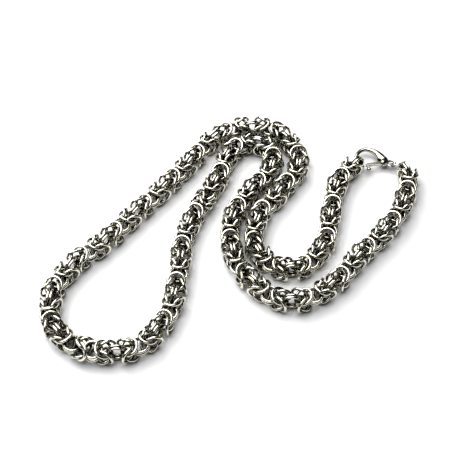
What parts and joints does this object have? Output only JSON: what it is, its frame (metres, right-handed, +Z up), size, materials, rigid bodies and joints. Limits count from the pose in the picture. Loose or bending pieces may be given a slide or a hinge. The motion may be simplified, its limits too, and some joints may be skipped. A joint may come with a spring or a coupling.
{
  "type": "byzantine chain necklace",
  "caption": "Byzantine weave neck chain of round steel links with a sprung lobster clasp and jump ring, lying loosely folded on a surface.",
  "frame": {"origin": "on the surface under the middle of the chain's bounding box", "axes": "+X to the right in the picture, along the longest side of the folded chain, +Y away from the camera, +Z up"},
  "size_m": [0.135, 0.1078, 0.0081],
  "materials": {
    "chain_steel": "polished stainless steel wire, dark in the recesses",
    "clasp_steel": "polished cast stainless steel, smooth"
  },
  "bodies": {
    "necklace": {"chain_a": "chain_steel", "chain_b": "chain_steel", "end_link_a1": "chain_steel", "end_link_a2": "chain_steel", "end_link_b1": "chain_steel", "end_link_b2": "chain_steel", "jump_ring": "clasp_steel", "clasp_body": "clasp_steel", "clasp_rivet": "clasp_steel"},
    "lever": {"clasp_lever": "clasp_steel"}
  },
  "joints": [
    {"name": "lever_pivot", "type": "hinge", "parent": "necklace", "child": "lever", "pos_m": [0.05486, 0.03267, 0.00275], "axis": [0, 0, -1], "range_deg": [0, 22], "stiffness_Nm_per_rad": 0.00002}
  ]
}
